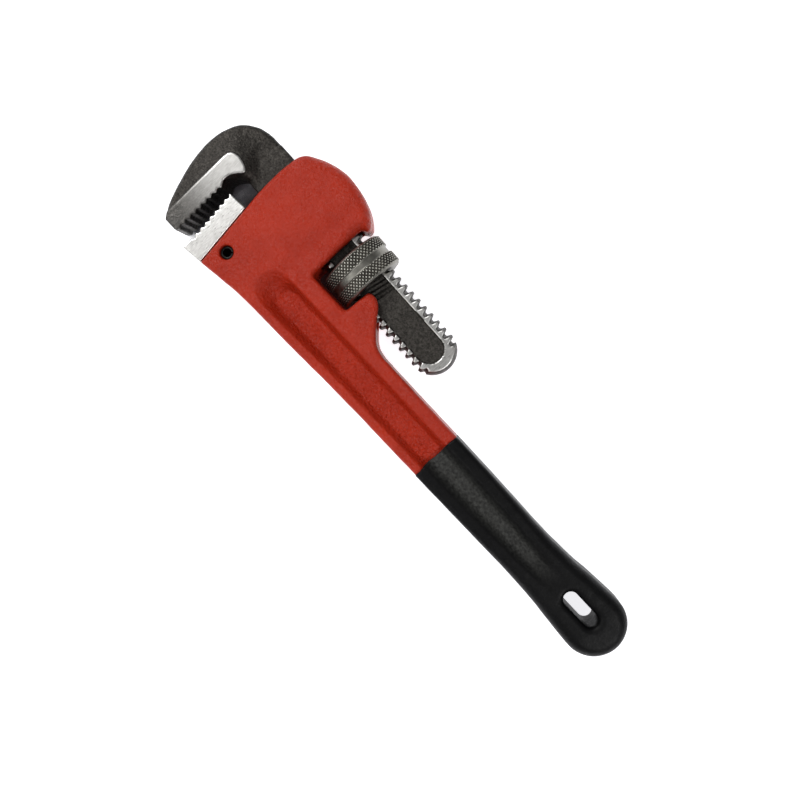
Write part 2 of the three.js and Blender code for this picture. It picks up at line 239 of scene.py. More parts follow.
def surface(field, low, step):
    """Vertices and quads of a field's zero level: a vertex in each cell that it crosses."""
    corners = [(i, j, k) for i in (0, 1) for j in (0, 1) for k in (0, 1)]
    cells = np.array(field.shape) - 1
    count = np.zeros(cells, np.int8)
    for i, j, k in corners:
        count += field[i : i + cells[0], j : j + cells[1], k : k + cells[2]] < 0
    where = np.argwhere((count > 0) & (count < 8))
    values = np.stack([field[where[:, 0] + i, where[:, 1] + j, where[:, 2] + k] for i, j, k in corners], 1)
    total = np.zeros((len(where), 3))
    hits = np.zeros(len(where))
    for a in range(8):
        for axis in range(3):
            if corners[a][axis]:
                continue
            b = a + (4, 2, 1)[axis]
            va = values[:, a]
            vb = values[:, b]
            cut = (va < 0) != (vb < 0)
            t = np.where(cut, va / np.where(cut, va - vb, 1), 0)
            point = np.tile(np.array(corners[a], float), (len(where), 1))
            point[:, axis] = t
            total += np.where(cut[:, None], point, 0)
            hits += cut
    vertices = (where + total / hits[:, None]) * step + np.array(low)
    index = np.full(cells, -1, np.int64)
    index[tuple(where.T)] = np.arange(len(where))
    quads = []
    for axis in range(3):
        u, v = [n for n in range(3) if n != axis]
        ahead = [slice(None)] * 3
        ahead[axis] = slice(1, None)
        back = [slice(None)] * 3
        back[axis] = slice(None, -1)
        a, b = field[tuple(back)] < 0, field[tuple(ahead)] < 0
        edges = np.argwhere(a != b)
        keep = (edges[:, u] > 0) & (edges[:, v] > 0) & (edges[:, u] < cells[u]) & (edges[:, v] < cells[v])
        edges = edges[keep]
        ring = []
        for du, dv in ((-1, -1), (0, -1), (0, 0), (-1, 0)):
            cell = edges.copy()
            cell[:, u] += du
            cell[:, v] += dv
            ring.append(index[tuple(cell.T)])
        ring = np.stack(ring, 1)
        flip = a[tuple(edges.T)] == (axis == 1)
        ring[flip] = ring[flip][:, ::-1]
        quads.append(ring)
    return vertices, np.vstack(quads)


def add_mesh(name, vertices, faces, marks=None):
    """A smooth mesh object from millimetre points, with the marks kept as point attributes."""
    mesh = bpy.data.meshes.new(name)
    points = np.asarray(vertices) * MM + np.array(ORIGIN)
    mesh.from_pydata(points.tolist(), [], faces.tolist())
    mesh.shade_smooth()
    for mark, numbers in (marks or {}).items():
        layer = mesh.attributes.new(mark, "FLOAT", "POINT")
        layer.data.foreach_set("value", np.asarray(numbers, np.float32))
    piece = bpy.data.objects.new(name, mesh)
    bpy.context.scene.collection.objects.link(piece)
    return piece


def adopt(piece, node, material):
    """The piece takes the CAD node's place and rides on its body."""
    piece.data.materials.append(material)
    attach(piece, BODY_OF[node])
    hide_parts(node)


def teeth(start, end, back, count):
    """A row of teeth along a line, each valley set back by the given offset."""
    a, b, back = np.array(start), np.array(end), np.array(back)
    out = []
    for i in range(count):
        out.append(tuple(a + (b - a) * (i / count)))
        out.append(tuple(a + (b - a) * ((i + 0.5) / count) + back))
    out.append(tuple(b))
    return out


def along_shank(points):
    """Turns points given along the shank's axis into the wrench's own axes."""
    c, s = math.cos(-TILT), math.sin(-TILT)
    return [(x * c - y * s, x * s + y * c + SHANK_Y) for x, y in points]


# Materials

class Nodes:
    """A new material and short calls for its node tree. Noise scales are in waves per metre."""

    def __init__(self, name, metallic=0.0):
        self.material = bpy.data.materials.new(name)
        self.material.use_nodes = True
        self.tree = self.material.node_tree
        self.shader = self.tree.nodes["Principled BSDF"]
        self.shader.inputs["Metallic"].default_value = metallic
        coordinates = self.tree.nodes.new("ShaderNodeTexCoord")
        self.place = coordinates.outputs["Object"]

    def link(self, a, b):
        self.tree.links.new(a, b)

    def stretch(self, scale, turn):
        """Coordinates scaled along each axis after a turn about Z."""
        node = self.tree.nodes.new("ShaderNodeMapping")
        node.inputs["Scale"].default_value = scale
        node.inputs["Rotation"].default_value = (0, 0, turn)
        self.link(self.place, node.inputs["Vector"])
        return node.outputs["Vector"]

    def noise(self, scale, detail=4.0, rough=0.55, vector=None):
        """Noise around 0.5 over the object's place or the given coordinates."""
        node = self.tree.nodes.new("ShaderNodeTexNoise")
        node.inputs["Scale"].default_value = scale
        node.inputs["Detail"].default_value = detail
        node.inputs["Roughness"].default_value = rough
        self.link(vector or self.place, node.inputs["Vector"])
        return node.outputs["Fac"]

    def mark(self, name):
        """A point attribute of the mesh."""
        node = self.tree.nodes.new("ShaderNodeAttribute")
        node.attribute_name = name
        return node.outputs["Fac"]

    def span(self, value, low, high, to_low=0.0, to_high=1.0):
        """The value carried from one range to another, and held at its ends."""
        node = self.tree.nodes.new("ShaderNodeMapRange")
        for socket, number in zip(("From Min", "From Max", "To Min", "To Max"), (low, high, to_low, to_high)):
            node.inputs[socket].default_value = number
        self.link(value, node.inputs["Value"])
        return node.outputs["Result"]

    def math(self, kind, a, b):
        """A sum, product or the like of two sockets or numbers."""
        node = self.tree.nodes.new("ShaderNodeMath")
        node.operation = kind
        for socket, value in zip(node.inputs, (a, b)):
            if isinstance(value, (int, float)):
                socket.default_value = value
            else:
                self.link(value, socket)
        return node.outputs["Value"]

    def mix(self, factor, a, b):
        """One color or the other. The mix node's color sockets have only numbers to tell them apart."""
        node = self.tree.nodes.new("ShaderNodeMix")
        node.data_type = "RGBA"
        self.link(factor, node.inputs["Factor"])
        for socket, value in ((node.inputs[6], a), (node.inputs[7], b)):
            if isinstance(value, tuple):
                socket.default_value = (*value, 1)
            else:
                self.link(value, socket)
        return node.outputs[2]

    def bump(self, height, depth, after=None):
        """A normal bent by a height whose full range is depth metres."""
        node = self.tree.nodes.new("ShaderNodeBump")
        node.inputs["Distance"].default_value = depth
        self.link(height, node.inputs["Height"])
        if after:
            self.link(after, node.inputs["Normal"])
        return node.outputs["Normal"]

    def finish(self, color, roughness=None, normal=None):
        """Links what is given to the shader, and hands over the material."""
        for socket, value in (("Base Color", color), ("Roughness", roughness), ("Normal", normal)):
            if value is not None:
                self.link(value, self.shader.inputs[socket])
        return self.material


def red_paint():
    """Paint with a peel over the cast skin, which both show more in the handle's recess."""
    n = Nodes("red_paint")
    n.shader.inputs["Specular IOR Level"].default_value = 0.23
    peel = n.noise(760, 2, 0.45)
    cast = n.noise(1900, 3, 0.65)
    tone = n.span(n.noise(60, 3), 0.3, 0.7)
    color = n.mix(tone, (0.370, 0.0200, 0.0055), (0.455, 0.0275, 0.0085))
    rough = n.span(n.noise(260, 4), 0.3, 0.7, 0.22, 0.34)
    panel = n.mark("panel")
    fine = n.bump(n.math("MULTIPLY", cast, n.span(panel, 0, 1, 0.8, 1.2)), 0.00042)
    normal = n.bump(n.math("MULTIPLY", peel, n.span(panel, 0, 1, 0.5, 1.1)), 0.0010, fine)
    return n.finish(color, rough, normal)


def grip_vinyl():
    """Black vinyl, lighter grey where the mark says so as a painted highlight with scuffed speckles, and pebbled
    there.
    """
    n = Nodes("grip_vinyl")
    n.shader.inputs["Specular IOR Level"].default_value = 0.13
    panel = n.mark("panel")
    color = n.mix(n.span(n.noise(90, 4), 0.3, 0.7), (0.0022, 0.0022, 0.0025), (0.0045, 0.0045, 0.0048))
    # Painted highlight: the recess panel is lighter grey, speckled like scuffs.
    scuff_and_highlight = n.mix(n.span(n.noise(900, 4), 0.35, 0.65), (0.017, 0.017, 0.0160), (0.050, 0.050, 0.047))
    color = n.mix(panel, color, scuff_and_highlight)
    rough = n.span(n.noise(500, 4), 0.3, 0.7, 0.38, 0.52)
    fine = n.bump(n.noise(1500, 3), 0.00008)
    normal = n.bump(n.noise(420, 3, 0.5), 0.0002, fine)
    pebble = n.math("MULTIPLY", n.noise(800, 2), panel)
    return n.finish(color, rough, n.bump(pebble, 0.0004, normal))


def jaw_steel(name, turn, shine):
    """Dark forged skin, and ground faces where the mark says so, brushed at an angle, lighter by shine."""
    n = Nodes(name, 1.0)
    bright = n.mark("bright")
    streak = n.noise(2600, 3, 0.6, n.stretch((1.0, 0.16, 1.0), turn))
    cloud = n.noise(70, 3)
    dull = (0.50 * shine, 0.49 * shine, 0.47 * shine)
    bare = (0.72 * shine, 0.71 * shine, 0.69 * shine)
    ground = n.mix(n.span(streak, 0.3, 0.7), dull, bare)
    ground = n.mix(n.span(cloud, 0.35, 0.75, 0.0, 0.25), ground, dull)
    speck = n.span(n.noise(1300, 5, 0.7), 0.38, 0.7)
    forged = n.mix(speck, (0.026, 0.024, 0.022), (0.085, 0.078, 0.070))
    color = n.mix(bright, forged, ground)
    rough_forged = n.span(n.noise(500, 4), 0.3, 0.7, 0.36, 0.6)
    rough_ground = n.span(streak, 0.3, 0.7, 0.26, 0.44)
    forged_share = n.span(bright, 0, 1, 1, 0)
    rough = n.math("ADD", n.math("MULTIPLY", bright, rough_ground),
                   n.math("MULTIPLY", forged_share, rough_forged))
    pitted = n.math("MULTIPLY", n.span(bright, 0, 0.15, 1, 0), n.noise(650, 5, 0.65))
    lined = n.math("MULTIPLY", bright, streak)
    normal = n.bump(lined, 0.000012, n.bump(pitted, 0.0005))
    return n.finish(color, rough, normal)


def nut_steel():
    """Dark oiled steel, worn bright on the knurl's peaks, which are also painted bright as highlights."""
    n = Nodes("nut_steel", 1.0)
    peak = n.mark("peak")
    stain = n.span(n.noise(160, 4), 0.3, 0.7)
    dark = n.mix(stain, (0.035, 0.033, 0.028), (0.075, 0.071, 0.060))
    wear_and_glint = n.mix(stain, (0.62, 0.60, 0.53), (0.90, 0.88, 0.80))
    color = n.mix(peak, dark, wear_and_glint)
    rough = n.span(n.noise(600, 4), 0.3, 0.7, 0.3, 0.48)
    normal = n.bump(n.noise(1400, 3), 0.00006)
    return n.finish(color, rough, normal)


# Ellipses of painted shadow on the floor under the head, under the jaws' mouth and around the pin's hole: the
# middle and the half sizes, in millimetres.
FLOOR_PAINTED_SHADOWS = ((-26, 19, 43, 15), (-66, 4, 13, 19), (-42.4, -5.2, 8, 8))
FLOOR_GLOW = 0.85


def floor_white():
    """A white sweep that glows, with a painted shadow: its glow and colour darken in the ellipses under the head,
    except where ambient occlusion finds it open above.
    """
    n = Nodes("floor_white")
    n.shader.inputs["Roughness"].default_value = 0.9
    n.shader.inputs["Emission Color"].default_value = (0.97, 0.97, 1.0, 1)
    lit = None
    for x, y, length, width in FLOOR_PAINTED_SHADOWS:
        node = n.tree.nodes.new("ShaderNodeMapping")
        node.vector_type = "TEXTURE"
        node.inputs["Location"].default_value = (ORIGIN.x + x * MM, ORIGIN.y + y * MM, 0)
        node.inputs["Scale"].default_value = (length * MM, width * MM, 1)
        n.link(n.place, node.inputs["Vector"])
        far = n.tree.nodes.new("ShaderNodeVectorMath")
        far.operation = "LENGTH"
        n.link(node.outputs["Vector"], far.inputs[0])
        clear = n.span(far.outputs["Value"], 0.82, 1.08)
        lit = clear if lit is None else n.math("MULTIPLY", lit, clear)
    # Ambient occlusion lifts the painted shadow where nothing stands close above the floor.
    open_sky = n.tree.nodes.new("ShaderNodeAmbientOcclusion")
    open_sky.samples = 16
    open_sky.inputs["Distance"].default_value = 0.025
    lit = n.math("MAXIMUM", lit, n.span(open_sky.outputs["AO"], 0.3, 0.55))
    n.link(n.math("MULTIPLY", lit, FLOOR_GLOW), n.shader.inputs["Emission Strength"])
    # The floor's colour darkens with the same mask, as a painted shadow.
    return n.finish(n.mix(lit, (0.12, 0.12, 0.14), (0.72, 0.72, 0.73)))


def small_steel(name, low, high):
    """Plain steel that varies between two colors."""
    n = Nodes(name, 1.0)
    color = n.mix(n.span(n.noise(400, 4), 0.3, 0.7), low, high)
    rough = n.span(n.noise(700, 3), 0.3, 0.7, 0.3, 0.5)
    return n.finish(color, rough, n.bump(n.noise(1200, 3), 0.00005))


# The handle and housing

def housing_outline():
    """The casting seen from above: the belly, the throat beside the shank, the window and the crest."""
    beam_end = 80
    points = [SEAT_BOTTOM]
    points += curve([(-45.0, -15.6), (-36.2, -14.4), (-23.9, -13.2), (4.6, -12.5), (32, -11.8),
                     (73.9, -11.4), (beam_end, -11.4)])
    points += [(beam_end, BEAM_TOP - 0.1)]
    points += curve([(60, BEAM_TOP), (36, BEAM_TOP), (31, 12.1), (27.2, 13.2), (23.1, 16.4), (19.1, 20.6),
                     (15.9, 24.4), (13.2, 26.1), (10.4, 26.2), (WINDOW_RIGHT + 0.6, 25.4)])
    corner_y = WINDOW_BOTTOM + WINDOW_CORNER
    points += arc(WINDOW_RIGHT - WINDOW_CORNER, corner_y, WINDOW_CORNER, 0, -90, 8)
    points += arc(WINDOW_LEFT + WINDOW_CORNER, corner_y, WINDOW_CORNER, -90, -180, 8)
    points += [(WINDOW_LEFT, 38.5)]
    points += curve([(WINDOW_LEFT + 0.3, 40.6), (-10.2, 41.4), (-9.2, 42.4), (-9.6, 44.4), (-11.9, 46.6),
                     (-15.9, 49.0), (-20.0, 50.4), (-24.1, 51.3), (-30.2, 51.9), (-35.5, 51.2),
                     (-40.4, 49.7), (-44.5, 47.8), (-48.2, 45.2), (-50, 42.0), (-50.6, 38),
                     (HEAD_FRONT, 33), (HEAD_FRONT, 26), (-50.8, 20)])
    points += [SEAT_TOP]
    return points


def recess_rise(x, y):
    """0 on the floor of the handle's long recess, 1 outside it, on the plane grid."""
    beyond = 100
    outer = arc(-18.4, -1.5, 8.0, 90, 270) + curve([(-17, -9.5), (20, -8.4), (beyond, -7.6)])
    outer += [(beyond, 6.4), (-10, 6.4)]
    inner = arc(-11.4, -1.0, 4.2, 90, 270)
    inner += [(-10, -5.2), (30, -4.9), (beyond, -4.9), (beyond, 3.3), (-10, 3.2)]
    return between(polygon(inner, x, y), polygon(outer, x, y))


def housing_half(gx, gy, rise):
    """Half of the casting's thickness: the head swells, dips by the window and thins to the beam."""
    dome = 0.5 * np.exp(-(((gx + 31) / 13) ** 2) - ((gy - 26) / 20) ** 2)
    dip = 0.4 * np.exp(-(((gx + 19.5) / 2.6) ** 2)) * ease((gy + 4) / 10)
    side = HEAD_HALF - 0.35
    top = side - (side - BEAM_HALF) * ease((gx + 2) / 40) + dome - dip
    soft = ease(rise) * 0.55 + rise * 0.45
    cast = wobble(gx.shape, (14, 5), 3) * 0.04
    panel_cast = wobble(gx.shape, (5, 2.5), 7) * 0.06
    return WEB_HALF + (top - WEB_HALF) * soft + cast + panel_cast * (1 - rise)


def pin_hole(x, y):
    """Distance to the hole that the pin stands in."""
    gx, gy = np.meshgrid(x, y, indexing="ij")
    return np.hypot(gx - PIN[0], gy - PIN[1])[..., None] - PIN[2] - PIN_ROOM


def housing_cuts(body, x, y, z):
    """Takes out the shank's channel, the gap between the ears, the tongue's seat and the pin's hole."""
    # The springs' pocket is the channel's raised part.
    channel = [(-60, CHANNEL_FLOOR), (-10.6, CHANNEL_FLOOR + 1), (-10.6, 41), (-13, 41), (-13, 45.7),
               (-22, 47.5), (-44, 47.5), (-46, 42.6), (-60, 42.6)]
    ears_x = WINDOW_RIGHT - 2
    ears = [(ears_x, CHANNEL_FLOOR), (45, CHANNEL_FLOOR), (45, 60), (ears_x, 60)]
    for outline in (channel, ears):
        body = blend_max(body, -plate(polygon(outline, x, y), z, CHANNEL_HALF, 0.5), 0.8)
    seat = [(-54, -11.6), (-37.8, -11.6), (-37.8, 8.6), (-54, 8.6)]
    body = np.maximum(body, -plate(polygon(seat, x, y), z, 4.4, 0.3))
    return blend_max(body, -pin_hole(x, y) + 0 * z, 0.9)


def housing():
    """The painted casting: head, ears and I-beam, thinner where the grip covers it."""
    step = 0.45
    low, high = (-53, -18, -13), (79.4, 54, 13)
    x, y, z = axes(low, high, step)
    gx, gy = np.meshgrid(x, y, indexing="ij")
    coat = COAT * (gx > GRIP_START + 0.5)
    flat = polygon(housing_outline(), x, y) + coat
    rise = recess_rise(x, y)
    half = (housing_half(gx, gy, rise) - coat).astype(np.float32)
    radius = (1.9 + 2.6 * ease((gy - 22) / 20) * ease((gx + 52) / 8)).astype(np.float32)
    gz = z[None, None, :]
    seam = SEAM[0] * np.exp(-((gz / SEAM[1]) ** 2))
    body = plate(flat + wobble(flat.shape, (14, 6), 5) * 0.05, z, half, radius) - seam
    body = housing_cuts(body, x, y, z)
    flash = np.hypot(np.hypot(gx - FLASH[0], gy - FLASH[1])[..., None], gz) - FLASH[2]
    body = blend_min(body, flash, 0.8)
    vertices, faces = surface(body, low, step)
    at = columns(vertices, low, step, flat.shape)
    panel = 1 - rise[at]
    panel[np.abs(vertices[:, 2]) > half[at] + 0.5] = 0
    piece = add_mesh("housing_casting", vertices, faces, {"panel": panel})
    adopt(piece, "handle_housing", red_paint())


# The dipped grip

def grip_outline():
    """The waisted grip with its round end, from a little before its edge."""
    before = GRIP_START - 4
    end = GRIP_END - GRIP_END_RADIUS
    points = curve([(before, BEAM_BOTTOM), (100, -11.35), (129, -11.2), (146, -11.7), (154, -12.4),
                    (163, -13.1), (end - 2, -13.45)])
    points += arc(end, 0.3, GRIP_END_RADIUS, -90, 90, 40)
    points += curve([(end - 2, 14.05), (163, 13.6), (154, 12.8), (146, 12.0), (129, 11.35),
                     (100, 11.65), (before, BEAM_TOP)])
    return points


def grip():
    """The dipped coat, with the beam's recess showing through and the hanging slot."""
    step = 0.45
    low, high = (GRIP_START - 2, -17, -12), (GRIP_END + 2, 17, 12)
    x, y, z = axes(low, high, step)
    flat = polygon(grip_outline(), x, y)
    gx, gy = np.meshgrid(x, y, indexing="ij")
    gz = z[None, None, :]
    # The beam's recess shows through the coat, and runs out before the slot.
    beside = np.abs(gy - 0.1)
    narrow = ease((gx - 80) / 75)
    rise = ease((beside - 2.0 + 0.8 * narrow) / (5.0 - 1.0 * narrow))
    floor = GRIP_PANEL_HALF + (GRIP_HALF - GRIP_PANEL_HALF) * ease((gx - 122) / 34)
    half = floor + (GRIP_HALF - floor) * rise - 0.9 * ease((gx - 168) / 18)
    half = (half + wobble(flat.shape, (22, 9), 11) * 0.07).astype(np.float32)
    flat = flat + wobble(flat.shape, (30, 12), 13) * 0.06
    body = plate(flat, z, half, (2.1 + 3.0 * ease((gx - 80) / 70)).astype(np.float32))
    # The coat's edge wanders a little where the dip ended.
    edge = GRIP_START + 0.25 * np.sin(gy * 0.55 + 0.8)[..., None] + 0.15 * np.sin(gz * 0.6)
    body = blend_max(body, edge - gx[..., None], 0.5)
    slot_start, slot_end, slot_y, slot_radius = SLOT
    spine = np.hypot(gx - np.clip(gx, slot_start + slot_radius, slot_end - slot_radius), gy - slot_y)
    body = blend_max(body, slot_radius - spine[..., None] + 0 * gz, 3.2)
    # A drip hardened at the very end.
    drip = np.hypot(np.hypot(gx - DRIP[0], gy - DRIP[1])[..., None], gz) - DRIP[2]
    body = blend_min(body, drip, 0.7)
    vertices, faces = surface(body, low, step)
    # The panel mark lightens the recess's floor as a painted highlight, and pebbles it.
    panel = (1 - rise) * ease((152 - gx) / 30)
    panel = panel[columns(vertices, low, step, flat.shape)]
    panel[np.abs(vertices[:, 2]) < 6] = 0
    piece = add_mesh("grip_coat", vertices, faces, {"panel": panel})
    adopt(piece, "grip_sleeve", grip_vinyl())


# The jaws

def heel_jaw():
    """The fixed jaw: a ground block with teeth, and a tongue that the pin holds in the head."""
    step = 0.3
    low, high = (-60.5, -18.5, -11), (-37, 14, 11)
    x, y, z = axes(low, high, step)
    seat_gap = 0.3
    outline = [(SEAT_BOTTOM[0] - seat_gap, -15.9), (SEAT_TOP[0] - seat_gap, 12.6), (-58.4, 12.1)]
    outline += teeth(HEEL_TOOTH_TOP, HEEL_TOOTH_BOTTOM, (TOOTH_DEPTH, 0.1), TEETH) + [(-56.3, -16.9)]
    body = plate(polygon(outline, x, y), z, HEEL_HALF, 0.25)
    tongue = [(-51, -11), (-38.6, -11), (-38.6, 8), (-51, 8)]
    body = np.minimum(body, plate(polygon(tongue, x, y), z, 4, 0.3))
    body = np.maximum(body, -pin_hole(x, y))
    vertices, faces = surface(body, low, step)
    # The sides are bare, and the teeth darken towards their roots as painted shade.
    lean = (HEEL_TOOTH_BOTTOM[0] - HEEL_TOOTH_TOP[0]) / (HEEL_TOOTH_TOP[1] - HEEL_TOOTH_BOTTOM[1])
    depth = vertices[:, 0] - (HEEL_TOOTH_TOP[0] + (HEEL_TOOTH_TOP[1] - vertices[:, 1]) * lean)
    on_side = np.abs(vertices[:, 2]) > HEEL_HALF - 0.3
    bright = np.where(on_side, 1.0, np.clip(0.75 - depth * 0.5, 0.25, 0.8))
    piece = add_mesh("heel_jaw_block", vertices, faces, {"bright": bright})
    adopt(piece, "heel_jaw", jaw_steel("heel_steel", math.radians(6), 1.3))


def hook_teeth():
    """The hook jaw's row of teeth, from its tip to the throat."""
    return teeth(HOOK_TOOTH_BOTTOM, HOOK_TOOTH_TOP, (-TOOTH_DEPTH, 0), TEETH)


def hook_face_outline():
    """The ground face beside the teeth, which ends in a lobe above the throat."""
    points = hook_teeth()
    points += curve([(-63.6, 12.2), (-64.6, 14.3), (-64.2, 17.2), (-62.6, 19.8), (-61.2, 21.4), (-61.0, 22.6),
                     (-62.6, 23.9), (-66.2, 24.8), (-69.3, 24.4), (-71.0, 23.0), (-71.5, 20.5)])
    points += [(-71.5, -12.0)] + HOOK_CHIN
    return points


def hook_outline():
    """The whole hook, from the shank's back round the crest and the chin to the throat."""
    top = along_shank([(-45, SHANK_HALF), (-60, SHANK_HALF), (-65, SHANK_HALF - 0.1)])
    points = top + curve([(-67.2, 40.2), (-70.8, 39.2), (-73.9, 37.4), (-76.4, 35.4), (-78.4, 32.8),
                          (-80.2, 28.6), (-81.3, 24.0), (-81.6, 18.9), (-81.3, 13.8), (-80.4, 8.7),
                          (-79.3, 4.4), (-78.0, 0.4), (-76.4, -4.0), (-74.7, -7.8), (-73.4, -10.2),
                          (-71.4, -13.0), HOOK_CHIN[0]])
    points += [HOOK_CHIN[1]] + hook_teeth()
    points += curve([(-63.6, 12.2), (-64.3, 14.0), (-63.4, 16.6), (-61.9, 19.0), (-59.8, 20.5),
                     (-57.4, 21.0)])
    points += along_shank([(-55, -SHANK_HALF), (-45, -SHANK_HALF)])
    return points


def thread_ridge(x, turn, crest_half):
    """1 on the thread's crest and 0 in its root, for places along the axis and turns about it."""
    offset = np.abs(((x - THREAD_PHASE) / LEAD - turn + 0.5) % 1 - 0.5) * LEAD
    return np.clip((crest_half + FLANK_RUN - offset) / FLANK_RUN, 0, 1)


def hook(x, y, z):
    """The hook: a ground face, and a forging that falls off from it to its edges and to the shank."""
    gx = np.meshgrid(x, y, indexing="ij")[0]
    face = polygon(hook_face_outline(), x, y)
    # The fall away from the face is steeper on the shank's side, and levels out at the flats' height.
    slope = 0.36 + 0.34 * ease((gx + 67) / 6)
    lift = HOOK_FACE_HALF - 0.55 - slope * np.maximum(face, 0) - FLAT_HALF
    half = FLAT_HALF + (lift + np.sqrt(lift ** 2 + 1.8)) / 2 + wobble(face.shape, (12, 5), 17) * 0.12
    half = np.minimum(half, HOOK_FACE_HALF - 0.45)
    forging = plate(polygon(hook_outline(), x, y), z, half.astype(np.float32), 2.2)
    return blend_min(forging, plate(face, z, HOOK_FACE_HALF, 0.3), 0.5)


def shank(sx, sy, gz, spine):
    """The threaded bar with two milled flats and a long recess in each, in its own axes."""
    radial = np.hypot(sy, gz)
    ridge = thread_ridge(sx, np.arctan2(gz, sy) / (2 * math.pi), CREST_HALF)
    # The factor keeps the field near a true distance on the steep flanks.
    thread = (radial - THREAD_RADIUS + THREAD_DEPTH * (1 - ridge)) * 0.75
    dome = np.hypot(radial, np.maximum(sx - SHANK_DOME_X, 0)) - THREAD_RADIUS - 0.1
    thread = np.maximum(thread, dome)
    thread = np.maximum(thread, THREAD_START - sx)
    plain = np.maximum(np.abs(sy) - SHANK_HALF, np.maximum(sx - THREAD_START, -60 - sx)) + 0 * gz
    bar = blend_max(np.minimum(thread, plain), np.abs(gz) - FLAT_HALF + 0 * sx, 0.35)
    # A ridge ends the recess a little way from the nut, and stray thread cuts lie between them.
    ridge_x = sx - PANEL_RIDGE_X - 0.12 * sy
    cuts = np.cos(2 * math.pi * (sx - 0.2 * sy) / CUT_PITCH)
    cuts = cuts * np.exp(-((sx - CUT_X) / 2.6) ** 4)
    ridge = PANEL_RIDGE_HEIGHT * np.exp(-((ridge_x / PANEL_RIDGE_HALF) ** 2))
    depth = PANEL_DEPTH - ridge + CUT_DEPTH * cuts
    panel = np.maximum(spine + 0 * gz, FLAT_HALF - depth - np.abs(gz))
    return blend_max(bar, -panel, 0.5)


def hook_jaw():
    """The moving jaw: the hook and its shank in one forging."""
    step = 0.33
    low, high = (-84, -16.5, -10.6), (56, 43, 10.6)
    x, y, z = axes(low, high, step)
    gx, gy = np.meshgrid(x, y, indexing="ij")
    c, s = math.cos(TILT), math.sin(TILT)
    sx = (gx * c - (gy - SHANK_Y) * s)[..., None]
    sy = (gx * s + (gy - SHANK_Y) * c)[..., None]
    spine = np.hypot(sx - np.clip(sx, PANEL_START, PANEL_END), sy + 0.6) - PANEL_RADIUS
    body = blend_min(hook(x, y, z), shank(sx, sy, z[None, None, :], spine), 0.8)
    vertices, faces = surface(body, low, step)

    i, j = columns(vertices, low, step, gx.shape)
    height = np.abs(vertices[:, 2])
    on_face = height > HOOK_FACE_HALF - 0.25
    threaded = sx[i, j, 0] > THREAD_START
    in_panel = spine[i, j, 0] < 0.2
    on_flat = threaded & ~in_panel & (height > FLAT_HALF - 0.3)
    flank = threaded & ~in_panel & ~on_flat
    bright = np.where(flank, 0.05, 0.0)
    # The ground face is painted brighter by the throat and darker towards the tip, as a painted reflection of the
    # lights.
    face_painted_light = 0.08 + 0.66 * ease((vertices[:, 1] + 10) / 32)
    bright = np.where(on_face, face_painted_light, bright)
    bright = np.where(on_flat, 1.0, bright)
    piece = add_mesh("hook_jaw_forging", vertices, faces, {"bright": bright})
    adopt(piece, "hook_jaw", jaw_steel("hook_steel", math.radians(-4), 1.05))


# The knurled nut

def knurl_wave(gx, ga, sign):
    """A ridge from 0 to 1 and back that winds round the nut one way or the other."""
    pitch = 2 * math.pi * NUT_RADIUS / DIAMONDS
    return 1 - 2 * np.abs(((ga * DIAMONDS / (2 * math.pi) + sign * gx / pitch) % 1) - 0.5)


def nut_outside(angle):
    """The ring's outer rows of points: two knurled bands with a groove between, and how bright each is, for wear
    and as a painted highlight on the knurl's peaks.
    """
    chamfer_x = NUT_HALF - NUT_CHAMFER
    x = np.concatenate([
        np.linspace(-NUT_HALF, -chamfer_x, 5)[:-1],
        np.linspace(-chamfer_x, -GROOVE_HALF - 0.5, 30),
        np.linspace(-GROOVE_HALF - 0.3, GROOVE_HALF + 0.3, 12),
        np.linspace(GROOVE_HALF + 0.5, chamfer_x, 30),
        np.linspace(chamfer_x, NUT_HALF, 5)[1:],
    ])
    gx, ga = np.meshgrid(x, angle, indexing="ij")
    peak = np.minimum(knurl_wave(gx, ga, 1), knurl_wave(gx, ga, -1))
    banded = (np.abs(gx) > GROOVE_HALF + 0.35) & (np.abs(gx) < NUT_HALF - 0.7)
    groove = np.clip((GROOVE_HALF + 0.45 - np.abs(gx)) / 0.45, 0, 1)
    chamfer = np.clip(np.abs(gx) - chamfer_x, 0, 1)
    sharp = np.clip(peak * 1.5, 0, 1)
    radius = NUT_RADIUS - 0.02 - np.where(banded, KNURL_DEPTH * (1 - sharp), 0.18)
    radius = radius - GROOVE_DEPTH * groove - NUT_CHAMFER * chamfer
    # The knurl's peaks are worn bright and also painted bright as highlights.
    wear_and_glint = np.where(banded, np.clip(peak * 2.8 - 1.4, 0, 1), 0.25)
    return np.stack([gx, radius * np.cos(ga), radius * np.sin(ga)], -1), wear_and_glint


def nut_inside(angle):
    """The ring's inner rows of points: the female thread, relieved at both ends."""
    x = np.linspace(-NUT_HALF, NUT_HALF, 60)
    gx, ga = np.meshgrid(x, angle, indexing="ij")
    ridge = thread_ridge(gx, ga / (2 * math.pi), CREST_HALF + NUT_CLEARANCE)
    relief = np.clip((np.abs(gx) - NUT_HALF + 0.6) / 0.6, 0, 1)
    radius = THREAD_RADIUS + NUT_CLEARANCE - THREAD_DEPTH * (1 - ridge) * (1 - relief)
    return np.stack([gx, radius * np.cos(ga), radius * np.sin(ga)], -1)[::-1]


